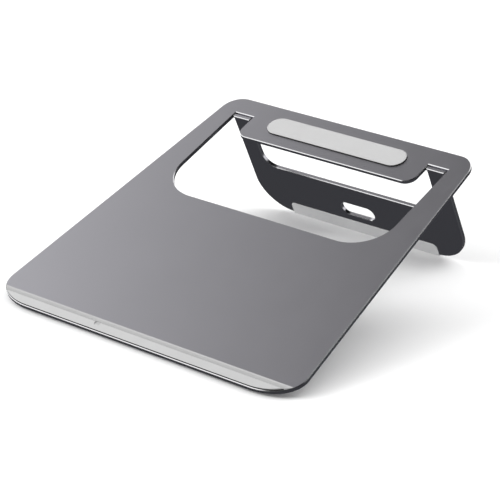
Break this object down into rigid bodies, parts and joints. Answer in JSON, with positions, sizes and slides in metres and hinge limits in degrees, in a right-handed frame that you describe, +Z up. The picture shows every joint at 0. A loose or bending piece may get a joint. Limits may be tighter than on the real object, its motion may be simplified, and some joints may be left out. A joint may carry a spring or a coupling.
{
  "type": "laptop stand",
  "caption": "Folding laptop stand cut from aluminium sheet: sloped vented plate with a silicone front stop and a flush-folding rear leg.",
  "frame": {"origin": "centre of the standing stand's footprint box, on the floor it stands on", "axes": "+Z up, +Y from the front stop to the rear leg, +X to the right as seen from the front; the stand is stored open, on its front feet and the leg's foot strip"},
  "size_m": [0.2384, 0.24, 0.0823],
  "materials": {
    "plate_metal": "bead-blasted, grey anodised, bright cut edges",
    "leg_metal": "bead-blasted, grey anodised, bright cut edges",
    "pin_steel": "ground steel",
    "washer_plastic": "black acetal",
    "grip_silicone": "matt light grey silicone",
    "leg_silicone": "matt grey silicone",
    "foot_silicone": "matt grey silicone",
    "foam_tape": "black foam tape",
    "adhesive_film": "thin adhesive film"
  },
  "bodies": {
    "plate": {"top_plate": "plate_metal", "hinge_pin_right": "pin_steel", "hinge_pin_left": "pin_steel", "hinge_washer_right_inner": "washer_plastic", "hinge_washer_left_inner": "washer_plastic", "hinge_washer_right_outer": "washer_plastic", "hinge_washer_left_outer": "washer_plastic", "laptop_grip_pad": "grip_silicone", "laptop_grip_tape": "foam_tape", "front_stop_strip": "grip_silicone", "front_stop_tape": "foam_tape", "front_foot_right": "foot_silicone", "front_foot_left": "foot_silicone", "front_foot_tape_right": "adhesive_film", "front_foot_tape_left": "adhesive_film"},
    "leg": {"rear_leg": "leg_metal", "leg_foot_strip": "leg_silicone"}
  },
  "joints": [
    {"name": "leg_fold", "type": "hinge", "parent": "plate", "child": "leg", "pos_m": [0, 0.08246, 0.075], "axis": [-1, 0, 0], "range_deg": [0, 96]}
  ]
}
